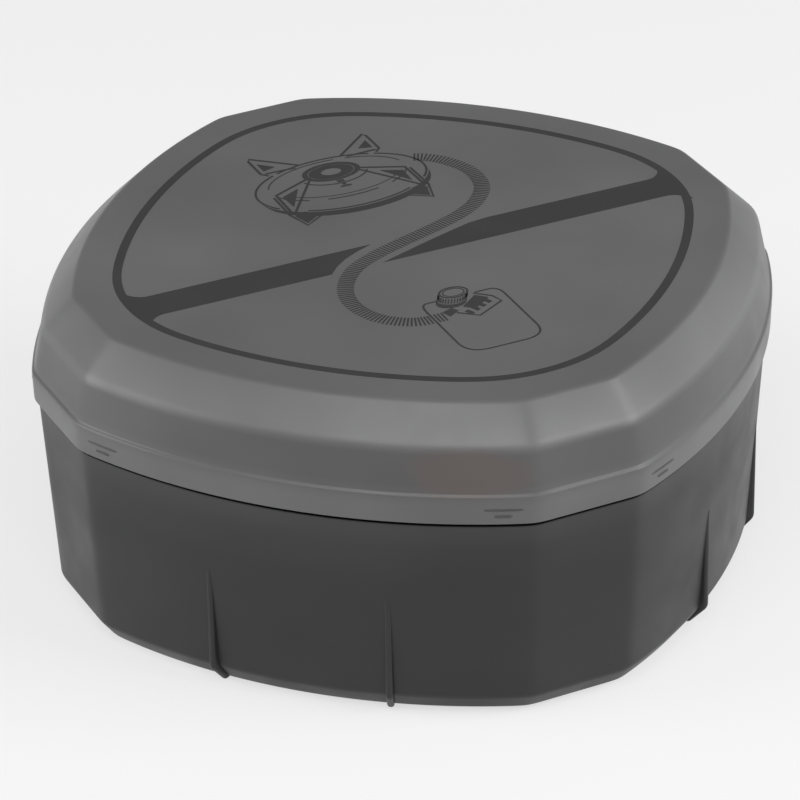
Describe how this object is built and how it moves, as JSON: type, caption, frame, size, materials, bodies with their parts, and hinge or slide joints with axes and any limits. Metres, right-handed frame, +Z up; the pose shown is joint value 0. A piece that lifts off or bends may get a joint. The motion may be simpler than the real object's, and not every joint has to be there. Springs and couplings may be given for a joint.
{
  "type": "camping stove",
  "caption": "Low smoke-plastic carrying case, square with bulged sides and cut corners, holding a compact gas stove with folding pot supports, ribbed hose and valve.",
  "frame": {"origin": "under the middle of the closed case, on the surface it stands on", "axes": "+Z up; -Y is the front side of the case and +X its right side"},
  "size_m": [0.24, 0.24, 0.113],
  "materials": {
    "smoke_plastic_dark": "translucent smoke-grey injection-moulded plastic, fine satin texture",
    "smoke_plastic_clear": "frosted translucent smoke-grey injection-moulded plastic with a dark printed pictogram",
    "tray_steel": "pressed stainless steel, satin",
    "sheet_steel": "stamped stainless steel sheet, fine grain",
    "bright_steel": "bright turned or drawn steel",
    "cast_alloy": "die-cast aluminium, slightly grainy",
    "burner_brass": "machined brass with a heat tint",
    "brass": "machined brass",
    "hose_rubber": "black ribbed gas hose",
    "black_plastic": "black moulded plastic",
    "red_plastic": "orange-red moulded plastic",
    "ceramic": "off-white glazed ceramic",
    "lead_silicone": "red-brown silicone insulation",
    "seal_rubber": "black nitrile rubber",
    "foot_rubber": "black rubber",
    "cap_plastic": "light grey plastic cap",
    "print_ink": "dark grey screen-printed ink on the lid"
  },
  "bodies": {
    "case": {"case_base": "smoke_plastic_dark"},
    "lid": {"case_lid": "smoke_plastic_clear"},
    "stove": {"drip_tray": "tray_steel", "hinge_brackets": "sheet_steel", "bracket_rivets": "sheet_steel", "tray_screws": "bright_steel", "burner_body": "cast_alloy", "burner_head": "burner_brass", "burner_cap": "bright_steel", "mixing_tube": "sheet_steel", "jet_holder": "brass", "jet_nipple": "brass", "inlet_elbow": "brass", "inlet_nut": "brass", "inlet_ferrule": "bright_steel", "gas_hose": "hose_rubber", "piezo_housing": "black_plastic", "piezo_clamp": "sheet_steel", "electrode_insulator": "ceramic", "electrode_tip": "bright_steel", "electrode_clip": "sheet_steel", "ignition_lead": "lead_silicone", "valve_ferrule": "bright_steel", "valve_nut": "brass", "valve_body": "brass", "gland_nut": "brass", "spindle_seal": "seal_rubber", "connector_collar": "brass", "connector_seal": "seal_rubber", "connector_pin": "brass"},
    "valve_knob": {"valve_spindle": "bright_steel", "control_knob": "red_plastic", "knob_screw": "bright_steel", "knob_cap": "cap_plastic"},
    "igniter_button": {"piezo_button": "red_plastic"},
    "support_right": {"post_right": "bright_steel", "arm_right": "sheet_steel", "foot_right": "foot_rubber"},
    "support_back": {"post_back": "bright_steel", "arm_back": "sheet_steel", "foot_back": "foot_rubber"},
    "support_left": {"post_left": "bright_steel", "arm_left": "sheet_steel", "foot_left": "foot_rubber"},
    "support_front": {"post_front": "bright_steel", "arm_front": "sheet_steel", "foot_front": "foot_rubber"}
  },
  "joints": [
    {"name": "stove_lift", "type": "slide", "parent": "case", "child": "stove", "axis": [0, 0, 1], "range_m": [0, 0.16]},
    {"name": "lid_lift", "type": "slide", "parent": "stove", "child": "lid", "axis": [0, 0, 1], "range_m": [0, 0.12]},
    {"name": "support_right_swing", "type": "hinge", "parent": "stove", "child": "support_right", "pos_m": [0.084, 0, 0.04], "axis": [0, 0, -1], "range_deg": [0, 90]},
    {"name": "support_back_swing", "type": "hinge", "parent": "stove", "child": "support_back", "pos_m": [0, 0.084, 0.04], "axis": [0, 0, -1], "range_deg": [0, 90]},
    {"name": "support_left_swing", "type": "hinge", "parent": "stove", "child": "support_left", "pos_m": [-0.084, 0, 0.04], "axis": [0, 0, -1], "range_deg": [0, 90]},
    {"name": "support_front_swing", "type": "hinge", "parent": "stove", "child": "support_front", "pos_m": [0, -0.084, 0.04], "axis": [0, 0, -1], "range_deg": [0, 90]},
    {"name": "knob_turn", "type": "hinge", "parent": "stove", "child": "valve_knob", "pos_m": [0.052, -0.088, 0.09], "axis": [0, 0, 1], "range_deg": [0, 540]},
    {"name": "button_press", "type": "slide", "parent": "stove", "child": "igniter_button", "axis": [0.7071, 0.7071, 0], "range_m": [0, 0.005], "stiffness_N_per_m": 1200, "springref_m": -0.004}
  ]
}
